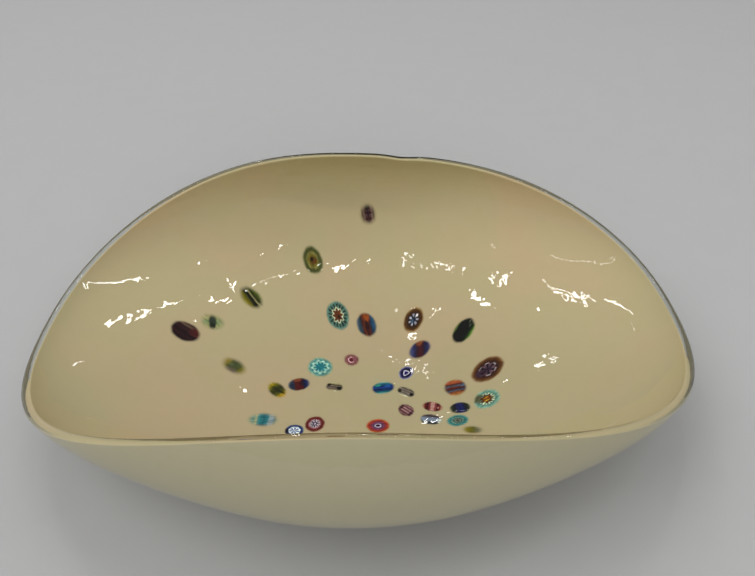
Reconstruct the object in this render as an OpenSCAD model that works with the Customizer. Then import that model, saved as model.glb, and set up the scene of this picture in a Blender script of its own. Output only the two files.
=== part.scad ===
// Art glass bowl, built from a round disc of cased glass that was folded up at the front
// and the back while hot. It has two tall sides that lean inward and two low ends.
// X is the length, Y is the depth with the front at -Y, and Z is up. The flat ground base
// rests on Z = 0. Slices of patterned cane (murrine) are set flush into the ivory core,
// under the clear inner casing. A place on the glass is given by its bearing around the
// bowl (0 is +X, 90 is the back) and by its distance from the middle of the unfolded disc.

/* [Outline] */
// Length over the two low ends
bowl_length = 350; // [320:1:380]
// Depth across the rim, from front to back
rim_depth = 235; // [220:1:250]
// Squareness of the rim seen from above, where 2 is an ellipse
corner_power = 2.3; // [2:0.1:2.6]

/* [Rim heights] */
// Height of the rim at the middle of the front
front_height = 92; // [80:1:100]
// Height of the rim at the middle of the back
back_height = 76; // [66:1:90]
// Height of the rim at the two low ends
end_height = 34; // [28:1:44]
// Rise and fall of the rim's slow waver, which repeats three times around
rim_waver = 2.5; // [0:0.5:4]
// Bearing of the first crest of the waver
waver_bearing = 15; // [0:1:119]
// Depth of the small dip in the back rim
dip_depth = 1.4; // [0:0.2:3]
// Bearing of the dip
dip_bearing = 76; // [60:1:100]
// Spread of the dip in degrees
dip_width = 5; // [4:0.5:10]

/* [Wall] */
// Radius of the flat ground base
base_radius = 38; // [32:1:44]
// Lean of the wall at the rim of the low ends, where 90 is upright
end_lean = 80; // [70:1:88]
// Lean of the wall at the rim of the tall sides, where more than 90 leans inward
side_lean = 120; // [105:1:122]

/* [Glass] */
// Radius of the glass disc before it was folded
disc_radius = 184; // [176:1:192]
// Thickness of the clear outer casing on the wall
outer_glass = 1.9; // [1.2:0.1:2.4]
// Thickness of the opaque ivory core
core_glass = 1.5; // [1.4:0.1:2]
// Thickness of the clear inner casing
inner_glass = 1.1; // [0.8:0.1:1.6]
// Share of their thickness that the layers lose towards the rim of the tall sides
side_thinning = 0.3; // [0:0.05:0.35]
// Extra thickness of the outer casing over the ground base
base_glass = 1.9; // [0:0.1:3]
// Width of the clear band above the edge of the core, at the low ends
end_lip = 5; // [3:0.2:6]
// Width of the clear band at the tall sides
side_lip = 2.2; // [2:0.2:4]
// Height of the rounded crest of the fire-polished lip
lip_crest = 1.6; // [1.2:0.1:1.8]
// Depth of a slice into the core at its middle
slice_depth = 0.8; // [0.4:0.1:0.9]

/* [Smoothness] */
// Steps around the bowl
around_steps = 64; // [48:8:72]
// Steps from the edge of the base to the edge of the core
wall_steps = 11; // [9:1:12]

/* [Hidden] */
half_length = bowl_length / 2;
half_depth = rim_depth / 2;
wall_glass = outer_glass + core_glass + inner_glass;
// Shares of the way from the middle of the disc to its edge
base_share = base_radius / disc_radius;
lip_share = 1 - lip_crest / disc_radius;
// Share over which the thick base runs out into the wall
runout_share = 0.25;
// Rings that turn the lip from the outer skin to the inner skin
lip_rings = 6;
// Steps that the slopes of the skin are measured over, in degrees and in shares
bearing_step = 0.1;
share_step = 0.001;
// Sides of a slice's outline, and how its foot is drawn in
slice_sides = 20;
slice_foot = 0.8;
// Height to which a slice's cutter stands over the core, past the curve of the wall
slice_reach = 4;

NAME = 0;
BEARING = 1;
DISTANCE = 2;
LENGTH = 3;
WIDTH = 4;
TURN = 5;
COLOUR = 6;

// Each slice: name, bearing, distance from the middle, length, width, turn of its length
// away from the direction around the bowl, and main colour
slices = [
    ["murrina_mauve_stripe", 87, 111, 16, 12, 100, "#6f4f4a"],
    ["murrina_olive_oval", 111, 81, 23, 13, 82, "#64602f"],
    ["murrina_lime_stripe", 144, 77, 21, 12, 77, "#5c5a1c"],
    ["murrina_grey_cross", 162, 83, 17, 12, 78, "#75806a"],
    ["murrina_plum", 169, 93, 20, 13, 67, "#3f1f24"],
    ["murrina_olive_mist", 184, 65, 19, 10, 47, "#77704a"],
    ["murrina_teal_star", 112, 38, 26, 13.5, 79, "#55776c"],
    ["murrina_orange_blue", 82, 26.5, 21, 12, 108, "#5a3a30"],
    ["murrina_brown_eye", 42, 43, 22.5, 11.5, 120, "#3f2a18"],
    ["murrina_forest_bar", 17, 59, 23, 11, 131, "#16190e"],
    ["murrina_purple_fan", 7, 35, 16.5, 10.5, 134, "#4e3a4c"],
    ["murrina_brown_ring", 350, 65, 24, 13, 142, "#5a3c22"],
    ["murrina_turquoise_star", 198, 24.5, 15.5, 14, 19, "#6fa39c"],
    ["murrina_rose_eye", 206, 6, 9.5, 8.5, 174, "#7d4a52"],
    ["murrina_blue_eye", 332, 29, 10.5, 8, 177, "#3f3a66"],
    ["murrina_yellow_olive", 207, 49, 13.5, 8.5, 14, "#6a641c"],
    ["murrina_red_blue", 210, 39.5, 12, 9, 68, "#3c2430"],
    ["murrina_black_stripe", 237, 27, 9.5, 6.5, 21, "#6a5f4c"],
    ["murrina_sea_blue", 297, 27, 12.5, 8.5, 164, "#1f4a66"],
    ["murrina_grey_stripe", 312, 37, 10, 6.5, 108, "#77706a"],
    ["murrina_orange_stripe", 334, 53.5, 13, 11.5, 155, "#8a5a45"],
    ["murrina_teal_amber", 333, 68, 16.5, 11.5, 159, "#6f8a74"],
    ["murrina_navy_bar", 323, 60.5, 11.5, 7.5, 138, "#252b45"],
    ["murrina_pink_stripe", 301, 45, 9, 7.5, 109, "#8c6468"],
    ["murrina_rose_stripe", 315, 51, 11, 6.5, 124, "#824a50"],
    ["murrina_pale_blue", 308, 55.5, 11, 7, 130, "#7d8087"],
    ["murrina_teal_white", 316, 64, 11.5, 8, 146, "#42726c"],
    ["murrina_olive_yellow", 315.5, 72.5, 11.5, 6, 126, "#77703c"],
    ["murrina_cyan_mist", 221, 62.5, 17, 10, 44, "#5f8f8d"],
    ["murrina_blue_star", 236.5, 58, 9.5, 8, 42, "#4f5f86"],
    ["murrina_red_ring", 243, 50.5, 10.5, 9.5, 73, "#8a4f4c"],
    ["murrina_orange_ring", 280, 48, 12, 9, 170, "#a3563e"],
    ["murrina_amber_ring", 262, 80, 15, 10, 100, "#8a5f2a"],
    ["murrina_leaf_stripe", 298, 86, 17, 10, 120, "#5f7a3f"],
    ["murrina_violet_eye", 238, 92, 18, 11, 70, "#55406a"],
    ["murrina_ruby_star", 276, 104, 17, 12, 95, "#7a2f35"],
];

function unit(v) = v / norm(v);

// Outline of the rim seen from above
function rim_radius(bearing) =
    pow(
        pow(abs(cos(bearing)) / half_length, corner_power)
            + pow(abs(sin(bearing)) / half_depth, corner_power),
        -1 / corner_power
    );

// Height of the rim: the tall front and back blend into the low ends
function rim_height(bearing) =
    let (
        side = (front_height + back_height) / 2 + (back_height - front_height) / 2 * sin(bearing),
        end_part = pow(rim_radius(bearing) * cos(bearing) / half_length, 2)
    )
    side + (end_height - side) * end_part + rim_waver * cos(3 * (bearing - waver_bearing))
        - dip_depth * exp(-pow((bearing - dip_bearing) / dip_width, 2));

// Lean of the wall at the rim
function rim_lean(bearing) = end_lean + (side_lean - end_lean) * pow(sin(bearing), 2);

// Outer skin of the bowl: flat inside the base, then a wall that curls up to its lean
function skin(bearing, share) =
    let (
        climb = max(0, share - base_share) / (1 - base_share),
        lean = rim_lean(bearing),
        reach = rim_radius(bearing) - base_radius,
        radius = share < base_share
            ? disc_radius * share
            : base_radius + reach * sin(lean * climb) / sin(lean)
    )
    [
        radius * cos(bearing),
        radius * sin(bearing),
        rim_height(bearing) * (1 - cos(lean * climb)) / (1 - cos(lean)),
    ];

// Directions in the skin: around the bowl, out towards the rim, and in through the glass
function around_way(bearing, share) =
    unit(skin(bearing + bearing_step, share) - skin(bearing - bearing_step, share));
function out_way(bearing, share) =
    unit(skin(bearing, share + share_step) - skin(bearing, share - share_step));
function in_way(bearing, share) =
    unit(cross(out_way(bearing, share), around_way(bearing, share)));

// Share of its full thickness that the glass keeps: it thins towards the rim of the sides
function fullness(bearing, share) =
    1 - side_thinning * max(0, share - base_share) / (1 - base_share) * pow(sin(bearing), 2);

// Depths under the outer skin of the core's two faces and of the inner skin
function base_part(share) =
    (1 + cos(180 * min(1, max(0, share - base_share) / runout_share))) / 2;
function core_outside(bearing, share) =
    (outer_glass + base_glass * base_part(share)) * fullness(bearing, share);
function core_inside(bearing, share) =
    core_outside(bearing, share) + core_glass * fullness(bearing, share);
function inner_skin(bearing, share) =
    core_inside(bearing, share) + inner_glass * fullness(bearing, share);

// Share at which the core ends, and the share at a part of the way there from the base
function core_edge(bearing) =
    1 - (side_lip + (end_lip - side_lip) * pow(cos(bearing), 4)) / disc_radius;
function wall_share(bearing, part) = base_share + part * (core_edge(bearing) - base_share);

// Bearings of the steps around the bowl, crowded where the outline turns
bearings = [
    for (step = [0 : around_steps - 1])
        let (turn = 360 * step / around_steps)
        atan2(half_depth * sin(turn), half_length * cos(turn))
];
rising = [for (step = [0 : wall_steps]) step / wall_steps];
falling = [for (step = [wall_steps : -1 : 0]) step / wall_steps];

// A ring of places, a part of the way up the wall, on the outer skin or at a depth under it
function skin_ring(part) = [for (bearing = bearings) skin(bearing, wall_share(bearing, part))];
function ring(part, depth) =
    [
        for (bearing = bearings)
            let (share = wall_share(bearing, part))
            skin(bearing, share) + depth(bearing, share) * in_way(bearing, share)
    ];

// One ring of the rounded lip: turn 0 is on the outer skin, 90 the crest, 180 the inner skin
function lip_ring(turn) =
    [
        for (bearing = bearings)
            let (half_glass = wall_glass / 2 * fullness(bearing, lip_share))
            skin(bearing, lip_share)
                + half_glass * (1 - cos(turn)) * in_way(bearing, lip_share)
                + lip_crest * sin(turn) * out_way(bearing, lip_share)
    ];

// A closed layer of glass, made of rings from its lower pole round its edge to its upper
// pole. The first strips split one way and the others the other way, so that two layers
// that meet share the same facets.
module layer(rings, low_depth, high_depth, first_strips) {
    points = concat([for (each_ring = rings) each each_ring], [[0, 0, low_depth], [0, 0, high_depth]]);
    low_pole = len(points) - 2;
    high_pole = len(points) - 1;
    last = around_steps * (len(rings) - 1);
    function next(step) = (step + 1) % around_steps;
    faces = [
        for (step = [0 : around_steps - 1]) each [
            [low_pole, step, next(step)],
            [high_pole, last + next(step), last + step],
        ],
        for (strip = [0 : len(rings) - 2], step = [0 : around_steps - 1])
            let (
                a = around_steps * strip + step,
                b = around_steps * strip + next(step),
                c = b + around_steps,
                d = a + around_steps
            )
            each strip < first_strips ? [[a, c, b], [a, d, c]] : [[a, d, b], [b, d, c]],
    ];
    polyhedron(points, faces);
}

module core_layer() {
    rings = concat(
        [for (part = rising) ring(part, function (b, s) core_outside(b, s))],
        [for (part = falling) ring(part, function (b, s) core_inside(b, s))]
    );
    layer(rings, core_outside(0, 0), core_inside(0, 0), wall_steps + 1);
}

// The cutter that shapes one slice and its seat: an ellipse with its foot drawn in
module slice_cutter(slice) {
    share = slice[DISTANCE] / disc_radius;
    across = around_way(slice[BEARING], share);
    inward = in_way(slice[BEARING], share);
    along = cross(inward, across);
    place = skin(slice[BEARING], share) + core_inside(slice[BEARING], share) * inward;
    outline = [
        for (side = [0 : slice_sides - 1])
            let (turn = 360 * side / slice_sides)
            [slice[LENGTH] / 2 * cos(turn), slice[WIDTH] / 2 * sin(turn)]
    ];
    frame = [
        [across.x, along.x, inward.x, place.x],
        [across.y, along.y, inward.y, place.y],
        [across.z, along.z, inward.z, place.z],
    ];
    multmatrix(frame) rotate([0, 0, slice[TURN]]) hull() {
        linear_extrude(slice_reach) polygon(outline);
        translate([0, 0, -slice_depth]) linear_extrude(slice_depth) polygon(slice_foot * outline);
    }
}

// Clear outer casing, with the ground base and the clear lip that closes over the layers
module outer_casing() {
    rings = concat(
        [for (part = rising) skin_ring(part)],
        [for (step = [0 : lip_rings]) lip_ring(180 * step / lip_rings)],
        [ring(1, function (b, s) inner_skin(b, s)), ring(1, function (b, s) core_inside(b, s))],
        [for (part = falling) ring(part, function (b, s) core_outside(b, s))]
    );
    color("#d9e0d8", 0.35) layer(rings, 0, core_outside(0, 0), wall_steps + lip_rings + 2);
}

// Opaque ivory core, with a seat for each slice
module ivory_core() {
    color("#b3a985") difference() {
        core_layer();
        for (slice = slices) slice_cutter(slice);
    }
}

// Clear inner casing over the core and the slices
module inner_casing() {
    rings = concat(
        [for (part = rising) ring(part, function (b, s) core_inside(b, s))],
        [for (part = falling) ring(part, function (b, s) inner_skin(b, s))]
    );
    color("#e4e8dc", 0.3) layer(rings, core_inside(0, 0), inner_skin(0, 0), wall_steps + 1);
}

// One slice of patterned cane, flush with the core's inner face
module murrina(slice) {
    color(slice[COLOUR]) intersection() {
        core_layer();
        slice_cutter(slice);
    }
}

outer_casing();
ivory_core();
inner_casing();
for (slice = slices) murrina(slice);
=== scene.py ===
"""The looks of the art glass bowl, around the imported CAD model.

The clear glass is one closed skin that stands for both casings, because fused layers have no
surface between them. The opaque ivory core and the slices of cane lie inside it. A place on the
glass is given as in the CAD model: by its bearing around the bowl, with 0 along +X and the back
at a quarter turn, and by its share of the way from the middle of the unfolded disc to the edge.
"""

import math

import bpy
import numpy as np
from mathutils import Matrix, Vector
from mathutils.bvhtree import BVHTree


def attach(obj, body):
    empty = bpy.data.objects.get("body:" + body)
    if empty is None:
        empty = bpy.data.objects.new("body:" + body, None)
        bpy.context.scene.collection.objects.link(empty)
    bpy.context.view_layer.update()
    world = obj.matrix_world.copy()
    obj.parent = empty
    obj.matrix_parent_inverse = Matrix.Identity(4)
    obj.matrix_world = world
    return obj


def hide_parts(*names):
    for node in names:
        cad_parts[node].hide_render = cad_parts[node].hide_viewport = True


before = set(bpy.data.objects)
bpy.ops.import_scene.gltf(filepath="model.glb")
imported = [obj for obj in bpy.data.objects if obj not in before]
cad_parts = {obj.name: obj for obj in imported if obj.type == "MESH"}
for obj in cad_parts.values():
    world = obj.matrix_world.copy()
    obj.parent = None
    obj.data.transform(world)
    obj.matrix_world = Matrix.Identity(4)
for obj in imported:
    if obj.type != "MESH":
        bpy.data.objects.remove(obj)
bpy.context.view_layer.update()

MM = 0.001

# The driving dimensions of the CAD model, in metres and radians
HALF_LENGTH = 0.175
HALF_DEPTH = 0.1175
CORNER_POWER = 2.3
FRONT_HEIGHT = 0.092
BACK_HEIGHT = 0.076
END_HEIGHT = 0.034
RIM_WAVER = 0.0025
WAVER_BEARING = math.radians(15)
DIP_DEPTH = 0.0014
DIP_BEARING = math.radians(76)
DIP_WIDTH = math.radians(5)
BASE_RADIUS = 0.038
END_LEAN = math.radians(80)
SIDE_LEAN = math.radians(120)
DISC_RADIUS = 0.184
OUTER_GLASS = 1.9 * MM
CORE_GLASS = 1.5 * MM
INNER_GLASS = 1.1 * MM
BASE_GLASS = 1.9 * MM
SIDE_THINNING = 0.3
END_LIP = 5.0 * MM
SIDE_LIP = 2.2 * MM
LIP_CREST = 1.6 * MM
RUNOUT_SHARE = 0.25

# Worked out from them
BASE_SHARE = BASE_RADIUS / DISC_RADIUS
LIP_SHARE = 1 - LIP_CREST / DISC_RADIUS
WALL_GLASS = OUTER_GLASS + CORE_GLASS + INNER_GLASS

# How far the core's rounded edge bulges, as a share of half its thickness
CORE_EDGE_REACH = 0.8

# The step in bearing and in share over which a direction is measured
NEARBY = 1e-3

# The slow waves in the casing's faces
SHORTEST_WAVE = 12 * MM
LONGEST_WAVE = 40 * MM
WAVE_COUNT = 16
INNER_RIPPLE = 0.09 * MM
INNER_RIPPLE_SEED = 11
OUTER_RIPPLE = 0.3 * INNER_RIPPLE
OUTER_RIPPLE_SEED = 5

# How finely the meshes are divided
BASE_RINGS = 8
CASING_AROUND = 416
CASING_RINGS = 92
LIP_RINGS = 18
CORE_AROUND = 288
CORE_RINGS = 70
CORE_EDGE_RINGS = 8


# ---------------------------------------------------------------- the shape of the glass


def rim_radius(bearing):
    """Reach of the rim from the middle: a rounded rectangle seen from above."""
    along = (np.abs(np.cos(bearing)) / HALF_LENGTH) ** CORNER_POWER
    across = (np.abs(np.sin(bearing)) / HALF_DEPTH) ** CORNER_POWER
    return (along + across) ** (-1 / CORNER_POWER)


def rim_height(bearing):
    """Height of the rim: tall in front and at the back, low at the ends, with a waver and a dip."""
    side = (FRONT_HEIGHT + BACK_HEIGHT) / 2 + (BACK_HEIGHT - FRONT_HEIGHT) / 2 * np.sin(bearing)
    end_part = (rim_radius(bearing) * np.cos(bearing) / HALF_LENGTH) ** 2
    waver = RIM_WAVER * np.cos(3 * (bearing - WAVER_BEARING))
    dip = DIP_DEPTH * np.exp(-(((bearing - DIP_BEARING) / DIP_WIDTH) ** 2))
    return side + (END_HEIGHT - side) * end_part + waver - dip


def skin(bearing, share):
    """Points of the outer skin: flat inside the base, then a wall that curls up to its lean."""
    bearing, share = np.broadcast_arrays(bearing, share)
    climb = np.maximum(0, share - BASE_SHARE) / (1 - BASE_SHARE)
    lean = END_LEAN + (SIDE_LEAN - END_LEAN) * np.sin(bearing) ** 2
    reach = rim_radius(bearing) - BASE_RADIUS
    wall = BASE_RADIUS + reach * np.sin(lean * climb) / np.sin(lean)
    radius = np.where(share < BASE_SHARE, DISC_RADIUS * share, wall)
    height = rim_height(bearing) * (1 - np.cos(lean * climb)) / (1 - np.cos(lean))
    return np.stack([radius * np.cos(bearing), radius * np.sin(bearing), height], -1)


def unit(vectors):
    return vectors / np.linalg.norm(vectors, axis=-1, keepdims=True)


def ways(bearing, share):
    """Unit directions at a place: around the bowl, out towards the rim and in through the glass."""
    around = unit(skin(bearing + NEARBY, share) - skin(bearing - NEARBY, share))
    out = unit(skin(bearing, share + NEARBY) - skin(bearing, share - NEARBY))
    return around, out, unit(np.cross(out, around))


def fullness(bearing, share):
    """Share of its full thickness that the glass keeps: it thins towards the rim of the sides."""
    climb = np.maximum(0, share - BASE_SHARE) / (1 - BASE_SHARE)
    return 1 - SIDE_THINNING * climb * np.sin(bearing) ** 2


def core_outside(bearing, share):
    """Depth of the core's outer face under the outer skin, which is greater over the base."""
    runout = np.clip((share - BASE_SHARE) / RUNOUT_SHARE, 0, 1)
    foot = BASE_GLASS * (1 + np.cos(math.pi * runout)) / 2
    return (OUTER_GLASS + foot) * fullness(bearing, share)


def core_inside(bearing, share):
    """Depth of the core's inner face under the outer skin."""
    return core_outside(bearing, share) + CORE_GLASS * fullness(bearing, share)


def core_edge(bearing):
    """Share at which the core ends, under a clear lip that is wider at the ends of the bowl."""
    lip = SIDE_LIP + (END_LIP - SIDE_LIP) * np.cos(bearing) ** 4
    return 1 - lip / DISC_RADIUS


def ripple(bearing, share, height, seed):
    """Slow waves left in the hot-worked surface, laid out on the unfolded disc."""
    random = np.random.default_rng(seed)
    x = DISC_RADIUS * share * np.cos(bearing)
    y = DISC_RADIUS * share * np.sin(bearing)
    total = np.zeros(np.broadcast(x, y).shape)
    for length in np.geomspace(SHORTEST_WAVE, LONGEST_WAVE, WAVE_COUNT):
        way = random.uniform(0, math.tau)
        phase = random.uniform(0, math.tau)
        along = (x * math.cos(way) + y * math.sin(way)) * math.tau / length
        total += (length / LONGEST_WAVE) ** 2 * np.sin(along + phase)
    return height * total


def bearings(count):
    """Bearings around the bowl, closest together where the outline turns most."""
    turn = np.arange(count) * math.tau / count
    return np.arctan2(HALF_DEPTH * np.sin(turn), HALF_LENGTH * np.cos(turn))


def closed_mesh(name, rings, low_pole, high_pole):
    """A closed smooth mesh of rings of points, from one pole over an edge to the other pole.

    Its points are those of the rings, in order, and then the two poles.
    """
    ring_count, around = rings.shape[:2]
    points = np.concatenate([rings.reshape(-1, 3), [low_pole, high_pole]])
    low, high = len(points) - 2, len(points) - 1
    step = np.arange(around)
    after = (step + 1) % around
    faces = []
    for ring in range(ring_count - 1):
        here, there = ring * around, (ring + 1) * around
        faces += np.stack([here + step, here + after, there + after, there + step], 1).tolist()
    last = (ring_count - 1) * around
    faces += np.stack([after, step, np.full(around, low)], 1).tolist()
    faces += np.stack([last + step, last + after, np.full(around, high)], 1).tolist()
    mesh = bpy.data.meshes.new(name)
    mesh.from_pydata(points.tolist(), [], faces)
    mesh.polygons.foreach_set("use_smooth", np.ones(len(faces), bool))
    piece = bpy.data.objects.new(name, mesh)
    bpy.context.scene.collection.objects.link(piece)
    return piece


def glass_points(bearing, share, depth):
    """Points at a depth in the glass, measured inward from the outer skin."""
    return skin(bearing, share) + np.asarray(depth)[..., None] * ways(bearing, share)[2]


def shares(bearing, count):
    """Shares from near the middle of the base to the edge of the core, one row for each."""
    base = np.linspace(0, BASE_SHARE, BASE_RINGS + 2)[1:-1, None] * np.ones_like(bearing)
    wall = np.linspace(0, 1, count)[:, None] * (core_edge(bearing) - BASE_SHARE) + BASE_SHARE
    return np.concatenate([base, wall])


def rolled_edge(start, directions, half, reach, turns):
    """Rings over a rounded edge, from start on an outer face to the inner face two halves away."""
    _, out_way, in_way = directions
    turn = turns[:, None, None]
    return start + half * (1 - np.cos(turn)) * in_way + reach * np.sin(turn) * out_way


def make_casing():
    """The clear skin: outer face, rounded lip and rippled inner face."""
    bearing = bearings(CASING_AROUND)[None, :]
    rising = shares(bearing, CASING_RINGS)
    outer_wave = ripple(bearing, rising, OUTER_RIPPLE, OUTER_RIPPLE_SEED)
    outer = glass_points(bearing, rising, outer_wave * (rising > BASE_SHARE))
    falling = rising[::-1]
    inner_wave = ripple(bearing, falling, INNER_RIPPLE, INNER_RIPPLE_SEED)
    inner_glass = INNER_GLASS * fullness(bearing, falling)
    inner = glass_points(bearing, falling, core_inside(bearing, falling) + inner_glass + inner_wave)
    directions = ways(bearing, np.full_like(bearing, LIP_SHARE))
    half = (WALL_GLASS / 2 * fullness(bearing, LIP_SHARE))[..., None]
    turns = np.linspace(0, math.pi, LIP_RINGS)
    rim = rolled_edge(skin(bearing, LIP_SHARE), directions, half, LIP_CREST, turns)
    rings = np.concatenate([outer, rim, inner])
    top = core_inside(0, 0) + INNER_GLASS
    return closed_mesh("clear_casing", rings, (0, 0, 0), (0, 0, top))


def make_core():
    """The opaque core, with a rounded edge under the clear lip."""
    bearing = bearings(CORE_AROUND)[None, :]
    rising = shares(bearing, CORE_RINGS)
    outside = glass_points(bearing, rising, core_outside(bearing, rising))
    falling = rising[::-1]
    inside = glass_points(bearing, falling, core_inside(bearing, falling))
    top = core_edge(bearing)
    start = glass_points(bearing, top, core_outside(bearing, top))
    half = (CORE_GLASS / 2 * fullness(bearing, top))[..., None]
    turns = np.linspace(0, math.pi, CORE_EDGE_RINGS + 2)[1:-1]
    rim = rolled_edge(start, ways(bearing, top), half, CORE_EDGE_REACH * half, turns)
    rings = np.concatenate([outside, rim, inside])
    piece = closed_mesh("ivory_glass", rings, (0, 0, core_outside(0, 0)), (0, 0, core_inside(0, 0)))
    inner = np.arange(len(piece.data.polygons)) // CORE_AROUND >= len(outside)
    low_pole_faces = slice(-2 * CORE_AROUND, -CORE_AROUND)
    inner[low_pole_faces] = False
    piece.data.polygons.foreach_set("material_index", inner.astype(int))
    return piece


# ---------------------------------------------------------------- materials


def linear(colour, gain=1.0):
    """A hexadecimal sRGB colour as linear light."""
    parts = [int(colour[i : i + 2], 16) / 255 for i in (1, 3, 5)]
    parts = [p / 12.92 if p <= 0.04045 else ((p + 0.055) / 1.055) ** 2.4 for p in parts]
    return (*[min(1.0, gain * p) for p in parts], 1.0)


# The share of each colour in a ramp that doesn't blend
RAMP_PLAIN = 0.4


class Graph:
    """The nodes of one material, with short calls for the kinds of node that are used here."""

    def __init__(self, name):
        self.material = bpy.data.materials.new(name)
        self.material.use_nodes = True
        self.tree = self.material.node_tree
        self.tree.nodes.clear()

    def node(self, kind, inputs=None, **settings):
        """A node, with its settings and with inputs that are values or other nodes' outputs."""
        made = self.tree.nodes.new(kind)
        for key, value in settings.items():
            setattr(made, key, value)
        for key, value in (inputs or {}).items():
            if isinstance(value, bpy.types.NodeSocket):
                self.tree.links.new(value, made.inputs[key])
            else:
                made.inputs[key].default_value = value
        return made

    def math(self, operation, *values):
        return self.node("ShaderNodeMath", dict(enumerate(values)), operation=operation).outputs[0]

    def vector(self, operation, *values):
        return self.node("ShaderNodeVectorMath", dict(enumerate(values)), operation=operation)

    def step(self, value, start, end):
        """From 0 at start to 1 at end, smoothly, and level beyond them."""
        inputs = {0: value, 1: start, 2: end, 3: 0.0, 4: 1.0}
        return self.node("ShaderNodeMapRange", inputs, interpolation_type="SMOOTHSTEP").outputs[0]

    def mix(self, share, first, second, blend="MIX"):
        """Two colours mixed, by the factor and the colour sockets of a Mix node."""
        inputs = {0: share, 6: first, 7: second}
        return self.node("ShaderNodeMix", inputs, data_type="RGBA", blend_type=blend).outputs[2]

    def grey(self, value):
        return self.node("ShaderNodeCombineColor", {0: value, 1: value, 2: value}).outputs[0]

    def noise(self, place, scale, detail=2.0, roughness=0.5):
        inputs = {"Vector": place, "Scale": scale, "Detail": detail, "Roughness": roughness}
        return self.node("ShaderNodeTexNoise", inputs)

    def ramp(self, value, colours, start, end):
        """Colours side by side from start to end, each blending into the next."""
        width = 1 / len(colours)
        plain = RAMP_PLAIN * width
        stops = []
        for index, colour in enumerate(colours):
            middle = (index + 0.5) * width
            stops += [(middle - plain / 2, colour), (middle + plain / 2, colour)]
        share = self.node("ShaderNodeMapRange", {0: value, 1: start, 2: end, 3: 0.0, 4: 1.0}).outputs[0]
        made = self.node("ShaderNodeValToRGB", {0: share})
        elements = made.color_ramp.elements
        while len(elements) < len(stops):
            elements.new(1.0)
        for element, (place, colour) in zip(elements, stops):
            element.position = place
            element.color = colour
        return made.outputs[0]

    def place(self):
        return self.node("ShaderNodeTexCoord").outputs["Object"]

    def finish(self, shader):
        output = self.node("ShaderNodeOutputMaterial")
        self.tree.links.new(shader, output.inputs["Surface"])
        return self.material


IVORY_WARM = "#c6b08f"
IVORY_GREEN = "#c0b28e"
# The core's outer face has its own ivory, darker and greyer than the inside: painted shade on the outside of
# the wall
IVORY_OUTSIDE_SHADED = "#afa68d"
CLOUDS_PER_METRE = 14.0
THREADS_PER_METRE = 160.0
THREAD_SHADE = 0.05


def ivory_colour(graph, warm=IVORY_WARM, green=IVORY_GREEN):
    """Cream glass with slow warm and green clouds and fine threads."""
    place = graph.place()
    cloud = graph.step(graph.noise(place, CLOUDS_PER_METRE).outputs[0], 0.35, 0.65)
    thread = graph.noise(place, THREADS_PER_METRE, 3.0, 0.6).outputs[0]
    colour = graph.mix(cloud, linear(warm), linear(green))
    shade = graph.math("MULTIPLY_ADD", thread, THREAD_SHADE, 1 - THREAD_SHADE / 2)
    return graph.mix(1.0, colour, graph.grey(shade), blend="MULTIPLY")


def embedded(graph, colour):
    """Opaque glass inside clear glass: no surface of its own to shine."""
    inputs = {"Base Color": colour, "Roughness": 0.45, "Specular IOR Level": 0.0}
    return graph.node("ShaderNodeBsdfPrincipled", inputs).outputs[0]


def ivory_material(name, warm, green):
    graph = Graph(name)
    return graph.finish(embedded(graph, ivory_colour(graph, warm, green)))


CLEAR_TINT = "#f6f8f2"
CLEAR_ROUGHNESS = 0.01
GLASS_IOR = 1.5
FINE_WAVE_LENGTH = 5.5 * MM
FINE_WAVE_HEIGHT = 0.13 * MM


def clear_material(name):
    """Clear glass that bends what is seen through it and lets plain light through to the core."""
    graph = Graph(name)
    wave = graph.noise(graph.place(), 1 / FINE_WAVE_LENGTH, 1.0, 0.4).outputs[0]
    bump = graph.node("ShaderNodeBump", {"Strength": 1.0, "Distance": FINE_WAVE_HEIGHT, "Height": wave})
    inputs = {
        "Base Color": linear(CLEAR_TINT),
        "Roughness": CLEAR_ROUGHNESS,
        "IOR": GLASS_IOR,
        "Transmission Weight": 1.0,
        "Normal": bump.outputs[0],
    }
    glass = graph.node("ShaderNodeBsdfPrincipled", inputs).outputs[0]
    passing = graph.node("ShaderNodeBsdfTransparent", {"Color": linear(CLEAR_TINT)}).outputs[0]
    path = graph.node("ShaderNodeLightPath")
    lit = graph.math("MAXIMUM", path.outputs["Is Shadow Ray"], path.outputs["Is Diffuse Ray"])
    return graph.finish(graph.node("ShaderNodeMixShader", {0: lit, 1: glass, 2: passing}).outputs[0])


# ---------------------------------------------------------------- patterns of cane

# Cane colours are multiplied by the gain, and then raised to the power of the contrast
CANE_GAIN = 1.3
CANE_CONTRAST = 1.25

# How far the patterns are bent, in half sizes of the slice, and the streaks drawn along it
CANE_WARP = 0.2
STREAK_STRENGTH = 0.5
STREAKS_ALONG = 1.6
STREAKS_ACROSS = 6.0

# Where a melting edge has turned into ivory, in half sizes, and how much nearer if it melts late
MELT_END = 1.17
MELT_NARROWING = 0.06


def hues(colours):
    """The colours of a layer of cane, from hexadecimal ones with spaces between them."""
    return [linear(colour, CANE_GAIN) for colour in colours.split()]


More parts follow.
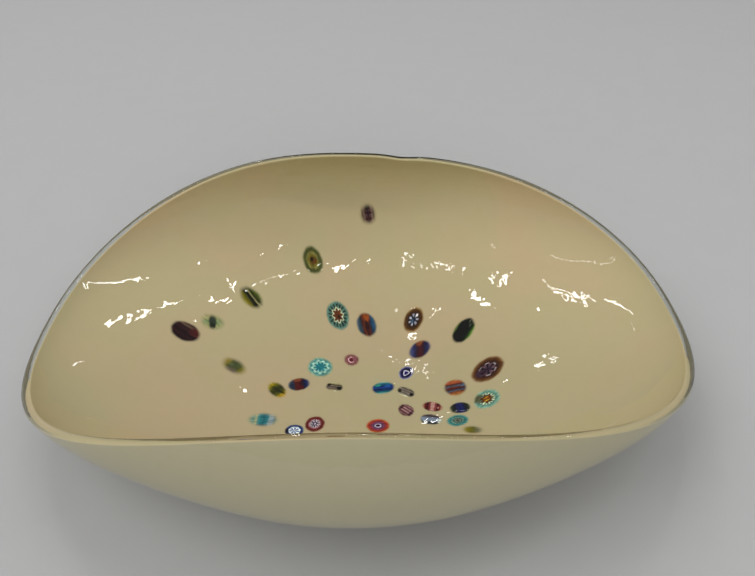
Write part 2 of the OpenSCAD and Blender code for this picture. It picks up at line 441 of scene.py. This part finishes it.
class CanePainter:
    """Paints a slice of cane. u runs along the slice and v across it, and both are 1 at its outline."""

    def __init__(self, graph, seed):
        self.graph = graph
        place = graph.node("ShaderNodeAttribute", attribute_name="cane").outputs["Vector"]
        shifted = graph.vector("ADD", place, (seed, 0.7 * seed, 0)).outputs[0]
        drift = graph.noise(shifted, 1.7, 3.0, 0.55).outputs["Color"]
        centred = graph.vector("ADD", drift, (-0.5, -0.5, -0.5)).outputs[0]
        moved = graph.vector("MULTIPLY_ADD", centred, (CANE_WARP, CANE_WARP, 0), place).outputs[0]
        split = graph.node("ShaderNodeSeparateXYZ", {0: moved})
        self.u, self.v = split.outputs[0], split.outputs[1]
        self.radius = graph.vector("LENGTH", moved).outputs["Value"]
        self.turn = graph.math("ARCTAN2", self.v, self.u)
        self.streaks = graph.vector("MULTIPLY", shifted, (STREAKS_ALONG, STREAKS_ACROSS, 0)).outputs[0]

    def across(self, degrees, u=0.0, v=0.0):
        """Distance from the point u, v, measured in the direction at an angle from u."""
        turn = math.radians(degrees)
        start = -u * math.cos(turn) - v * math.sin(turn)
        part = self.graph.math("MULTIPLY_ADD", self.u, math.cos(turn), start)
        return self.graph.math("MULTIPLY_ADD", self.v, math.sin(turn), part)

    def rings(self, _, colours):
        """Rings of colour from the middle to the outline, over all of the slice."""
        return self.graph.ramp(self.radius, hues(colours), 0.0, 1.0)

    def stripes(self, _, degrees, colours):
        """Stripes of colour in the direction at an angle from u, over all of the slice."""
        return self.graph.ramp(self.across(degrees), hues(colours), -1.0, 1.0)

    def cover(self, colour, mask, hue):
        """One more colour over the layers below, where the mask is 1."""
        return self.graph.mix(mask, colour, linear(hue, CANE_GAIN))

    def blob(self, colour, hue, u, v, long, wide, degrees=0, soft=0.5):
        """A soft oval spot."""
        along = self.graph.math("DIVIDE", self.across(degrees, u, v), long)
        aside = self.graph.math("DIVIDE", self.across(degrees + 90, u, v), wide)
        squares = self.graph.math("MULTIPLY_ADD", along, along, self.graph.math("MULTIPLY", aside, aside))
        return self.cover(colour, self.graph.step(squares, 1 + soft, 1 - soft), hue)

    def rays(self, colour, hue, count, start, end, soft):
        """Rays between two radii, with sides that blend more the larger soft is."""
        wave = self.graph.math("COSINE", self.graph.math("MULTIPLY", self.turn, float(count)))
        beam = self.graph.step(wave, -soft, 1.3 * soft)
        inside = self.graph.step(self.radius, start - 0.04, start + 0.05)
        outside = self.graph.step(self.radius, end + 0.06, end - 0.06)
        mask = self.graph.math("MULTIPLY", beam, self.graph.math("MULTIPLY", inside, outside))
        return self.cover(colour, mask, hue)

    def star(self, colour, hue, count, size, depth):
        """A star, whose points stand out by the share depth of its size."""
        wave = self.graph.math("COSINE", self.graph.math("MULTIPLY", self.turn, float(count)))
        edge = self.graph.math("MULTIPLY_ADD", wave, depth * size, size)
        gap = self.graph.math("SUBTRACT", self.radius, edge)
        return self.cover(colour, self.graph.step(gap, 0.05, -0.04), hue)

    def circle(self, colour, hue, radius, width):
        """A thin ring."""
        gap = self.graph.math("ABSOLUTE", self.graph.math("SUBTRACT", self.radius, radius))
        return self.cover(colour, self.graph.step(gap, width, 0.3 * width), hue)

    def streaked(self, colour):
        """Fine streaks along the slice."""
        noise = self.graph.noise(self.streaks, 1.0, 3.0, 0.6).outputs[0]
        streak = self.graph.step(noise, 0.36, 0.64)
        shade = self.graph.math("MULTIPLY_ADD", streak, STREAK_STRENGTH, 1 - STREAK_STRENGTH / 2)
        return self.graph.mix(1.0, colour, self.graph.grey(shade), blend="MULTIPLY")


def cane_material(name, seed, melt, layers):
    """A patterned slice whose edge melts into the ivory, from the share melt of its half size."""
    graph = Graph(name)
    painter = CanePainter(graph, seed)
    colour = None
    for kind, *settings in layers:
        colour = getattr(painter, kind)(colour, *settings)
    colour = painter.streaked(colour)
    colour = graph.node("ShaderNodeGamma", {0: colour, 1: CANE_CONTRAST}).outputs[0]
    edge = graph.step(painter.radius, melt, MELT_END - MELT_NARROWING * melt)
    return graph.finish(embedded(graph, graph.mix(edge, colour, ivory_colour(graph))))


# Each slice: where its edge starts to melt, and its layers from the bottom up. A layer starts with
# the name of a painter's method, and the rest are what that method asks for.
CANES = {
    "murrina_mauve_stripe": (0.5, [
        ("stripes", 90, "#8c8060 #4c3a30 #7a625a #5c4240 #3c2430 #5c4242 #7d6660 #4e3c32 #8c7e60"),
        ("blob", "#33241c", -0.62, 0.0, 0.22, 0.34),
        ("blob", "#3c1c28", -0.12, 0.05, 0.12, 0.42),
        ("blob", "#4a2828", 0.42, 0.0, 0.16, 0.4),
    ]),
    "murrina_olive_oval": (0.86, [
        ("rings", "#4a3208 #5c4410 #6e5c20 #7c7234 #83804a #5c5c30 #50552f #6c6e46"),
        ("blob", "#2a2208", -0.1, -0.1, 0.16, 0.16),
        ("blob", "#6e4a1c", 0.1, 0.22, 0.2, 0.2),
    ]),
    "murrina_lime_stripe": (0.66, [
        ("stripes", 90, "#8a8430 #7c741c #746c16 #5c5a14 #28260a #16160a "
                        "#8c8860 #2c2f12 #4c5418 #566020 #6a6e38"),
        ("blob", "#5a5c44", -1.0, 0.1, 0.3, 0.5),
    ]),
    "murrina_grey_cross": (0.5, [
        ("stripes", 0, "#a09c74 #969870"),
        ("blob", "#83906c", 0.0, 0.0, 1.1, 0.3, 42, 0.9),
        ("blob", "#3c4438", 0.0, 0.0, 0.85, 0.28, -59, 0.7),
        ("blob", "#2c3228", 0.25, -0.4, 0.4, 0.2, -59, 0.7),
    ]),
    "murrina_plum": (0.84, [
        ("stripes", 90, "#24080f #2a0c14 #36121a #220a12 #3a161e #321a1e #6a5448 #3c2624"),
        ("blob", "#54201e", 0.62, 0.5, 0.5, 0.4, 40, 0.8),
    ]),
    "murrina_olive_mist": (0.5, [
        ("stripes", 0, "#94863c #84782c #5e6240 #505838 #565c38 #76701e #8c8228"),
        ("blob", "#6c6054", 0.2, -0.65, 0.5, 0.35, 0, 0.8),
    ]),
    "murrina_teal_star": (0.9, [
        ("rings", "#6b3410 #6b3410 #b0b49a #9aa894 #6c887e #56766c #587a70 #6a8a80"),
        ("rays", "#2c3c34", 17, 0.5, 0.84, 0.3),
        ("star", "#c8c6aa", 8, 0.5, 0.16),
        ("star", "#3c1a08", 8, 0.4, 0.24),
        ("star", "#6e3c12", 8, 0.33, 0.24),
        ("blob", "#3a1406", 0.12, 0.05, 0.16, 0.12),
    ]),
    "murrina_orange_blue": (0.84, [
        ("stripes", 90, "#5c6c74 #3c505e #33424e #54281c #6a3418 #38120c "
                        "#5e2416 #30303c #244a66 #2c5270 #5c6c70"),
        ("blob", "#8c4c1e", -0.62, 0.15, 0.4, 0.35, 0, 0.8),
        ("blob", "#3a1008", 0.1, 0.0, 0.4, 0.22, 0, 0.8),
    ]),
    "murrina_brown_eye": (0.88, [
        ("rings", "#1c2434 #2c3448 #141420 #20140a #3c2408 #4a2e0c #553812 #84622c"),
        ("rays", "#a8a6b4", 7, 0.22, 0.5, 0.3),
        ("blob", "#4c6078", 0.15, -0.1, 0.2, 0.14),
        # The pale spot near the middle is a painted highlight
        ("blob", "#cfc8cc", -0.4, 0.2, 0.12, 0.14),
    ]),
    "murrina_forest_bar": (0.86, [
        ("stripes", 90, "#5c6c34 #14180a #0c0e06 #181c10 #08090a #16190e #0a0c06 #14200a #2c4814 #68883c"),
        ("blob", "#5c6050", -0.78, 0.1, 0.14, 0.1, 20, 0.9),
        ("blob", "#4a5040", -0.55, 0.35, 0.16, 0.08, 0, 0.9),
    ]),
    "murrina_purple_fan": (0.82, [
        ("stripes", -45, "#5a5878 #34345c #2c284c #40202c #54202a #4a1c24 #38283c #363864 #4c4e78 #6c6c84"),
        ("blob", "#8a5230", -0.55, -0.65, 0.4, 0.3, 45, 0.8),
    ]),
    "murrina_brown_ring": (0.9, [
        ("rings", "#3a1c34 #4c3048 #6a5060 #6c4e54 #3a1c18 #4a2a10 #60401a #7c5630"),
        ("rays", "#c9bcc4", 6, 0.14, 0.56, 0.5),
        ("blob", "#4a3044", 0.42, -0.1, 0.34, 0.3, 0, 0.9),
        ("rays", "#24101c", 6, 0.1, 0.5, 0.12),
    ]),
    "murrina_turquoise_star": (0.8, [
        ("rings", "#1f6e7c #2f7d88 #5c9c9c #86b4ac #8cb6ac #4c888c #6c9c98 #88a894"),
        ("rays", "#b4d0c4", 9, 0.46, 0.72, 0.5),
        ("star", "#2c7884", 9, 0.4, 0.4),
    ]),
    "murrina_rose_eye": (0.8, [
        ("rings", "#64142c #7c2840 #8c4452 #8a4c58 #8a585c #8a5e5c #957468"),
        ("circle", "#d8bcc0", 0.42, 0.1),
        ("blob", "#8c5a60", -0.1, -0.5, 0.5, 0.42, 0, 0.8),
        ("blob", "#6a1c30", 0.0, 0.05, 0.26, 0.24),
    ]),
    "murrina_blue_eye": (0.84, [
        ("rings", "#2c2870 #2c2870 #b9b4d0 #1c183c #16123a #2c285c #6a6890 #9a9aa8"),
        ("star", "#d4d0e0", 3, 0.4, 0.16),
        ("star", "#2a2468", 3, 0.28, 0.16),
    ]),
    "murrina_yellow_olive": (0.74, [
        ("stripes", 0, "#a8962c #9a8a1c #6c6a18 #4a4a12 #3c3e10 #50501a #6c661c #ac921c #b89c34"),
        ("blob", "#34360f", 0.1, 0.1, 0.7, 0.22, 20, 0.8),
    ]),
    "murrina_red_blue": (0.84, [
        ("stripes", 0, "#4c5868 #303a50 #34344a #54221c #5c1a18 #4a1218 #3a1428 #1c2048 #242e5c #3a4670"),
        ("blob", "#84482a", -0.12, 0.72, 0.36, 0.3, 0, 0.8),
        ("blob", "#5c1218", 0.12, -0.6, 0.3, 0.3, 0, 0.8),
    ]),
    "murrina_black_stripe": (0.84, [
        ("stripes", 90, "#b9b090 #a09478 #6c6054 #7c6e66 #5c5048 #857868 #4c4634 #9c9474 #b4ac88"),
        ("blob", "#14140a", -0.72, 0.35, 0.24, 0.3, 0, 0.7),
        ("blob", "#14160a", 0.62, -0.15, 0.32, 0.36, 0, 0.7),
        ("blob", "#d0ccb4", 0.2, -0.86, 0.14, 0.16),
    ]),
    "murrina_sea_blue": (0.82, [
        ("stripes", 80, "#7ca09c #2c7884 #1c5c80 #0c3468 #1c4c90 #0a2858 #14406c #24747c #6c9c98"),
        ("blob", "#2a5ca0", -0.45, -0.15, 0.3, 0.16, 10, 0.8),
        ("blob", "#3c9080", 0.42, -0.5, 0.26, 0.2, 0, 0.8),
    ]),
    "murrina_grey_stripe": (0.86, [
        ("stripes", 90, "#948c78 #5c544c #84786e #6a6058 #8a807c #6c645e #8c8474 #c4c0a8"),
        ("blob", "#0e0e08", -0.72, 0.1, 0.24, 0.34, 0, 0.7),
        ("blob", "#2a2a18", 0.72, 0.25, 0.24, 0.34, 0, 0.7),
        ("blob", "#dcdac8", -0.3, 0.9, 0.2, 0.14),
    ]),
    "murrina_orange_stripe": (0.8, [
        ("stripes", 64, "#b4885c #a4603a #9c5634 #5c3028 #5a606e #6a3024 "
                        "#4e241e #505c70 #7c4a2c #a0683a #b08c5c"),
        ("blob", "#566478", -0.7, 0.25, 0.26, 0.14, -26, 0.8),
    ]),
    "murrina_teal_amber": (0.86, [
        ("rings", "#6c3c10 #5c3410 #4a3c20 #8c9c84 #6c8c80 #668c82 #749a8e #8aa89a"),
        ("rays", "#d0d4b8", 15, 0.4, 0.62, 0.2),
        ("blob", "#62634a", 0.4, -0.5, 0.42, 0.46, 30, 0.8),
        ("star", "#4a2a0c", 7, 0.42, 0.25),
        ("star", "#74420f", 7, 0.34, 0.25),
        ("blob", "#c8a840", 0.1, 0.12, 0.2, 0.06, -10, 0.8),
        ("blob", "#b08428", -0.05, -0.16, 0.2, 0.06, -10, 0.8),
    ]),
    "murrina_navy_bar": (0.86, [
        ("stripes", 0, "#5c5c4a #2e3228 #22281e #1a1f48 #262c68 #1c2258 "
                       "#262c64 #1a1f40 #262a20 #30342a #5c5c4a"),
    ]),
    "murrina_pink_stripe": (0.86, [
        ("stripes", 90, "#6a484a #9a7678 #5c3840 #aa888a #6c444c #a88484 #5c363e #8a6668 #6a4648"),
        ("blob", "#4c2a30", 0.72, -0.1, 0.2, 0.5, 0, 0.9),
        ("blob", "#4c2a30", -0.72, 0.1, 0.16, 0.5, 0, 0.9),
    ]),
    "murrina_rose_stripe": (0.86, [
        ("stripes", 0, "#a88070 #78302c #4c1418 #8a4444 #b08884 #b48e88 #7a3436 #480e12 #6c2420 #a07464"),
        ("blob", "#b48480", -0.55, 0.1, 0.08, 0.24, 0, 0.9),
    ]),
    "murrina_pale_blue": (0.88, [
        ("stripes", 90, "#7c7068 #3c3034 #5c5258 #747c8c #8790a4 #8c94a4 #7c848e #4c5058 #2a2a32 #6c6c64"),
        ("blob", "#c4c8c4", -0.84, 0.1, 0.16, 0.5, 0, 0.9),
    ]),
    "murrina_teal_white": (0.86, [
        ("rings", "#3c3830 #34403c #24423f #2c5c5c #34706f #3a7878 #4c8684 #709890"),
        ("rays", "#b9c0ac", 9, 0.2, 0.32, 0.2),
        ("rays", "#a0b4a4", 13, 0.46, 0.58, 0.15),
    ]),
    "murrina_olive_yellow": (0.5, [
        ("stripes", 0, "#9a9478 #857e66 #76725a #6c6a34 #706a14 #7c7218 #8a7e28 #a09850"),
    ]),
    "murrina_cyan_mist": (0.55, [
        ("stripes", 0, "#9aa284 #7c988a #78968a #a0a488 #4c888a #327880 "
                       "#2c6e78 #3a7c84 #8c9ca0 #8c9aa4 #5c8084 #98a084"),
    ]),
    "murrina_blue_star": (0.9, [
        ("rings", "#b9c8dc #24448c #2c4c98 #4060a8 #c8d0dc #2a3c7c #283460 #50648c"),
        ("rays", "#dce4ec", 7, 0.14, 0.66, 0.4),
        ("blob", "#16182c", -0.85, 0.1, 0.18, 0.5, 0, 0.8),
    ]),
    "murrina_red_ring": (0.92, [
        ("rings", "#c4b4bc #24284c #c0b4bc #b8aab4 #c0aab0 #7a3434 #64201f #7c4038"),
        ("rays", "#1c2450", 8, 0.2, 0.46, 0.3),
        ("rays", "#7c3c44", 16, 0.5, 0.68, 0.3),
    ]),
    "murrina_orange_ring": (0.88, [
        ("rings", "#34122c #34122c #c4b4c8 #4a2450 #74506c #84405a #8c3c44 #9c3c2c #a44a2c #b46a40"),
    ]),
    "murrina_amber_ring": (0.86, [
        ("rings", "#2f4250 #8a5a24 #a8722c #4c2c0c #6c4418 #8a6430"),
        ("rays", "#c8b48c", 9, 0.4, 0.6, 0.3),
    ]),
    "murrina_leaf_stripe": (0.8, [
        ("stripes", 90, "#8c9460 #4c6428 #2c4418 #7c9450 #203410 #48602a #7a8044"),
    ]),
    "murrina_violet_eye": (0.86, [
        ("rings", "#c8c0d4 #34205c #a094b8 #28183c #3c2c54 #6a6078"),
        ("rays", "#b8b0c8", 7, 0.44, 0.62, 0.3),
    ]),
    "murrina_ruby_star": (0.88, [
        ("rings", "#34080f #c4a8a4 #4a1016 #64181c #5c1c1c #7c4438"),
        ("star", "#c8b0a8", 8, 0.44, 0.4),
        ("star", "#4c0c14", 8, 0.26, 0.4),
    ]),
}


# ---------------------------------------------------------------- the slices of cane


def nearest_share(point, bearing):
    """Share, along a bearing, of the place on the core's inner face that is nearest to a point."""
    tried = np.linspace(0.005, 1, 800)
    face = glass_points(np.full_like(tried, bearing), tried, core_inside(bearing, tried))
    return tried[np.argmin(np.linalg.norm(face - point, axis=1))]


def slice_measure(node):
    """Middle, long way, short way, inward way and half sizes of a slice, from its CAD solid."""
    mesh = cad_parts[node].data
    points = np.array([vertex.co for vertex in mesh.vertices])
    middle = (points.min(0) + points.max(0)) / 2
    bearing = math.atan2(middle[1], middle[0])
    around_way, _, in_way = ways(np.array(bearing), np.array(nearest_share(middle, bearing)))
    out_way = np.cross(in_way, around_way)
    flat = (points - middle) @ np.stack([around_way, out_way], 1)
    turns = np.radians(np.arange(180))
    reach = flat @ np.stack([np.cos(turns), np.sin(turns)])
    widths = reach.max(0) - reach.min(0)
    turn = turns[np.argmax(widths)]
    long_way = math.cos(turn) * around_way + math.sin(turn) * out_way
    short_way = np.cross(in_way, long_way)
    sides = flat @ np.array([-math.sin(turn), math.cos(turn)])
    return middle, long_way, short_way, in_way, widths.max() / 2, (sides.max() - sides.min()) / 2


# The visible slice is a little wider than its solid, because its edge melts into the ivory. Its
# top is crowned in the middle and sunk at the edge, and its body is half as deep at the edge.
SLICE_MARGIN = 1.25
SLICE_CROWN = 0.12 * MM
SLICE_SUNK = 0.05 * MM
SLICE_DEPTH = 0.8 * MM
SLICE_RINGS = 11
SLICE_AROUND = 56
OVAL_WOBBLE = 0.03
CORNER_WOBBLE = 0.025

# The rays that find the core start this far above it
RAY_START = 30 * MM


def slice_places(random):
    """Places u, v over a slice with a slightly uneven outline: rings outward, then the middle."""
    ring = np.linspace(0, 1, SLICE_RINGS + 1)[1:, None]
    turn = np.arange(SLICE_AROUND) * math.tau / SLICE_AROUND
    oval = OVAL_WOBBLE * np.cos(2 * turn + random.uniform(0, 6))
    corners = CORNER_WOBBLE * np.cos(3 * turn + random.uniform(0, 6))
    reach = ring * (1 + oval + corners)
    rings = np.stack([reach * np.cos(turn), reach * np.sin(turn)], -1)
    return np.append(rings.reshape(-1, 2), [(0, 0)], axis=0)


def over_and_under(under, over):
    """Rings from the middle of the under side over the edge to the middle of the upper side."""
    size = (SLICE_RINGS, SLICE_AROUND, 3)
    return np.concatenate([under[:-1].reshape(size), over[:-1].reshape(size)[::-1]])


def make_slice(node, core_tree):
    """A slice slumped flush into the core: a crowned top and a body that lies in the core."""
    middle, long_way, short_way, in_way, half_long, half_short = slice_measure(node)
    seed = sum(map(ord, node))
    places = slice_places(np.random.default_rng(seed))
    along, aside = half_long * long_way, half_short * short_way
    top, body = [], []
    for u, v in places:
        point = middle + SLICE_MARGIN * (u * along + v * aside)
        place, normal, _, _ = core_tree.ray_cast(Vector(point + RAY_START * in_way), Vector(-in_way))
        if normal.dot(Vector(in_way)) < 0:
            normal = -normal
        radius = math.hypot(u, v)
        crown = SLICE_CROWN * (1 - radius**2) - SLICE_SUNK * radius**4
        depth = SLICE_DEPTH * (1 - 0.5 * radius**6)
        top.append(place + crown * normal)
        body.append(place - depth * normal)
    top, body = np.array(top), np.array(body)
    piece = closed_mesh(node.replace("murrina", "cane"), over_and_under(body, top), body[-1], top[-1])
    painted = SLICE_MARGIN * np.column_stack([places, np.zeros(len(places))])
    values = np.concatenate([over_and_under(painted, painted).reshape(-1, 3), painted[-1:], painted[-1:]])
    attribute = piece.data.attributes.new("cane", "FLOAT_VECTOR", "POINT")
    attribute.data.foreach_set("vector", values.astype(np.float32).ravel())
    return piece


# ---------------------------------------------------------------- the bowl

casing = make_casing()
casing.data.materials.append(clear_material("clear_glass"))
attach(casing, "root")
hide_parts("outer_casing", "inner_casing")

core = make_core()
# The outer faces take the darker ivory, which is painted shade; the inner faces take the clouded ivory
core.data.materials.append(ivory_material("ivory_outside_shaded", IVORY_OUTSIDE_SHADED, IVORY_OUTSIDE_SHADED))
core.data.materials.append(ivory_material("ivory_inside", IVORY_WARM, IVORY_GREEN))
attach(core, "root")
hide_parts("ivory_core")

core_tree = BVHTree.FromPolygons([v.co for v in core.data.vertices], [p.vertices for p in core.data.polygons])
for seed, (node, (melt, layers)) in enumerate(CANES.items()):
    piece = make_slice(node, core_tree)
    piece.data.materials.append(cane_material(piece.name, float(seed), melt, layers))
    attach(piece, "root")
    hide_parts(node)


# ---------------------------------------------------------------- floor, light and camera

CEILING = 1.6
FLOOR_HALF = 6.0
FLOOR_LEVEL = -0.2 * MM
WORLD_STRENGTH = 0.26


def add_lamp(name, turn, place, size, power):
    """A rectangular lamp that shines along its own -Z."""
    lamp = bpy.data.lights.new(name, "AREA")
    lamp.shape = "RECTANGLE"
    lamp.size, lamp.size_y = size
    lamp.energy = power
    light = bpy.data.objects.new(name, lamp)
    light.matrix_world = Matrix.Translation(place) @ turn.to_4x4()
    bpy.context.scene.collection.objects.link(light)
    return light


def soft_light(name, place, aim, size, power):
    """A broad lamp that lights the bowl but doesn't show in the glass."""
    turn = (Vector(aim) - Vector(place)).to_track_quat("-Z", "Y").to_matrix()
    light = add_lamp(name, turn, Vector(place), size, power)
    light.visible_glossy = False
    light.visible_transmission = False


def strip_light(name, start, end, width, radiance):
    """A thin tube of light under the ceiling between two points, turned towards the bowl."""
    start, end = Vector((*start, CEILING)), Vector((*end, CEILING))
    middle = (start + end) / 2
    length = (end - start).length
    along = (end - start).normalized()
    back = (middle - middle.dot(along) * along).normalized()
    turn = Matrix((along, back.cross(along), back)).transposed()
    add_lamp(name, turn, middle, (length, width), radiance * math.pi * length * width)


def make_floor():
    """A plain matt floor, just under the base."""
    graph = Graph("floor_paper")
    mottle = graph.noise(graph.place(), 40.0, 4.0, 0.6).outputs[0]
    colour = graph.mix(mottle, linear("#b2b2b2"), linear("#b6b6b6"))
    paper = graph.node("ShaderNodeBsdfPrincipled", {"Base Color": colour, "Roughness": 0.8}).outputs[0]
    signs = [(-1, -1), (1, -1), (1, 1), (-1, 1)]
    corners = [(x * FLOOR_HALF, y * FLOOR_HALF, FLOOR_LEVEL) for x, y in signs]
    mesh = bpy.data.meshes.new("floor")
    mesh.from_pydata(corners, [], [(0, 1, 2, 3)])
    mesh.materials.append(graph.finish(paper))
    floor = bpy.data.objects.new("floor", mesh)
    bpy.context.scene.collection.objects.link(floor)


def make_world():
    world = bpy.data.worlds.new("studio")
    world.use_nodes = True
    background = world.node_tree.nodes["Background"]
    background.inputs["Color"].default_value = (1.0, 1.0, 1.0, 1.0)
    background.inputs["Strength"].default_value = WORLD_STRENGTH
    bpy.context.scene.world = world


make_floor()
make_world()

soft_light("softbox", (-2.0, -0.2, 2.4), (0, 0, 0), (2.0, 2.0), 32.0)
soft_light("ceiling_fill", (0, 0, 3.0), (0, 0, 0), (8.0, 8.0), 56.0)
soft_light("front_fill", (0.3, -2.4, 1.1), (0, 0, 0.05), (2.4, 1.0), 22.0)

# The strips make the highlights on the walls of the bowl, each by its place under the ceiling
strip_light("strip_right", (0.35, 0.08), (3.4, 0.05), 0.035, 26)
strip_light("strip_left", (-0.45, 0.04), (-2.4, -0.12), 0.02, 9)
strip_light("strip_middle", (0.15, 1.5), (0.2, 1.6), 0.015, 26)
strip_light("strip_top", (-0.15, 0.62), (-0.13, 0.76), 0.02, 26)
strip_light("strip_near", (-0.2, 0.5), (-0.24, 0.95), 0.02, 26)
strip_light("strip_far", (-0.46, 0.86), (-0.53, 1.27), 0.055, 26)
strip_light("strip_back", (0.08, 0.74), (0.16, 0.98), 0.045, 28)
strip_light("strip_edge", (-0.02, 0.56), (0.04, 0.65), 0.02, 28)

# The camera that was fitted to the rim, the outer wall and the slices in the photo
CAMERA_AIM = Vector((0.0113, 0.067, 0.0))
CAMERA_DISTANCE = 0.4123
CAMERA_PITCH = math.radians(40.92)
CAMERA_HEADING = math.radians(0.84)
CAMERA_ROLL = math.radians(-0.85)
CAMERA_LENS = 29.26
CAMERA_SENSOR = 36


def make_camera():
    ahead = Vector((
        math.sin(CAMERA_HEADING) * math.cos(CAMERA_PITCH),
        math.cos(CAMERA_HEADING) * math.cos(CAMERA_PITCH),
        -math.sin(CAMERA_PITCH),
    ))
    level = Vector((math.cos(CAMERA_HEADING), -math.sin(CAMERA_HEADING), 0))
    upright = level.cross(ahead)
    right = math.cos(CAMERA_ROLL) * level + math.sin(CAMERA_ROLL) * upright
    up = math.cos(CAMERA_ROLL) * upright - math.sin(CAMERA_ROLL) * level
    lens = bpy.data.cameras.new("camera")
    lens.lens = CAMERA_LENS
    lens.sensor_width = CAMERA_SENSOR
    lens.clip_start = 0.01
    camera = bpy.data.objects.new("camera", lens)
    turn = Matrix((right, up, -ahead)).transposed()
    camera.matrix_world = Matrix.Translation(CAMERA_AIM - CAMERA_DISTANCE * ahead) @ turn.to_4x4()
    bpy.context.scene.collection.objects.link(camera)
    bpy.context.scene.camera = camera


make_camera()
bpy.context.scene.view_settings.view_transform = "Standard"
